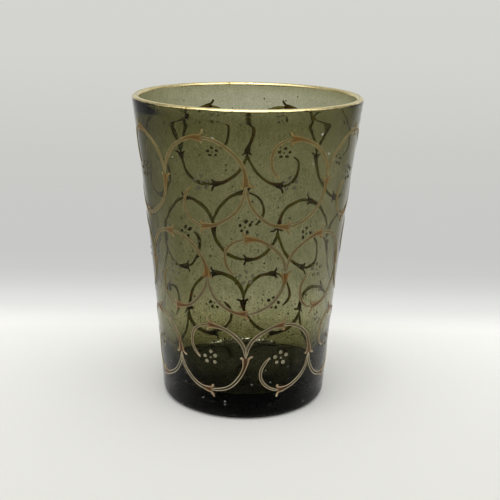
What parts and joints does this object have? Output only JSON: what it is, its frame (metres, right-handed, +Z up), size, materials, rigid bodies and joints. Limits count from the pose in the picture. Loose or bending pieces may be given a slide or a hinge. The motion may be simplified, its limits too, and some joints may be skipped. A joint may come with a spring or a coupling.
{
  "type": "glass vase",
  "caption": "Tapered open vase of smoky olive glass with a gilded lip and tiers of raised enamel scrollwork on the outer wall.",
  "frame": {"origin": "centre of the resting face under the vase", "axes": "+Z up along the axis of the vase, -Y towards the front seen in the picture"},
  "size_m": [0.1162, 0.1162, 0.1581],
  "materials": {
    "glass": "polished smoky olive glass with small seeds",
    "gilding": "fired gilding, burnished and lightly worn",
    "enamel": "opaque raised enamel, satin"
  },
  "bodies": {
    "root": {"vase_body": "glass", "rim_gilding": "gilding", "top_scroll_1": "enamel", "top_scroll_2": "enamel", "top_scroll_3": "enamel", "top_scroll_4": "enamel", "top_scroll_5": "enamel", "top_scroll_6": "enamel", "top_scroll_7": "enamel", "top_scroll_8": "enamel", "middle_scroll_1": "enamel", "middle_scroll_2": "enamel", "middle_scroll_3": "enamel", "middle_scroll_4": "enamel", "middle_scroll_5": "enamel", "middle_scroll_6": "enamel", "middle_scroll_7": "enamel", "middle_scroll_8": "enamel", "bottom_scroll_1": "enamel", "bottom_scroll_2": "enamel", "bottom_scroll_3": "enamel", "bottom_scroll_4": "enamel", "bottom_scroll_5": "enamel", "bottom_scroll_6": "enamel", "bottom_scroll_7": "enamel", "bottom_scroll_8": "enamel"}
  },
  "joints": []
}
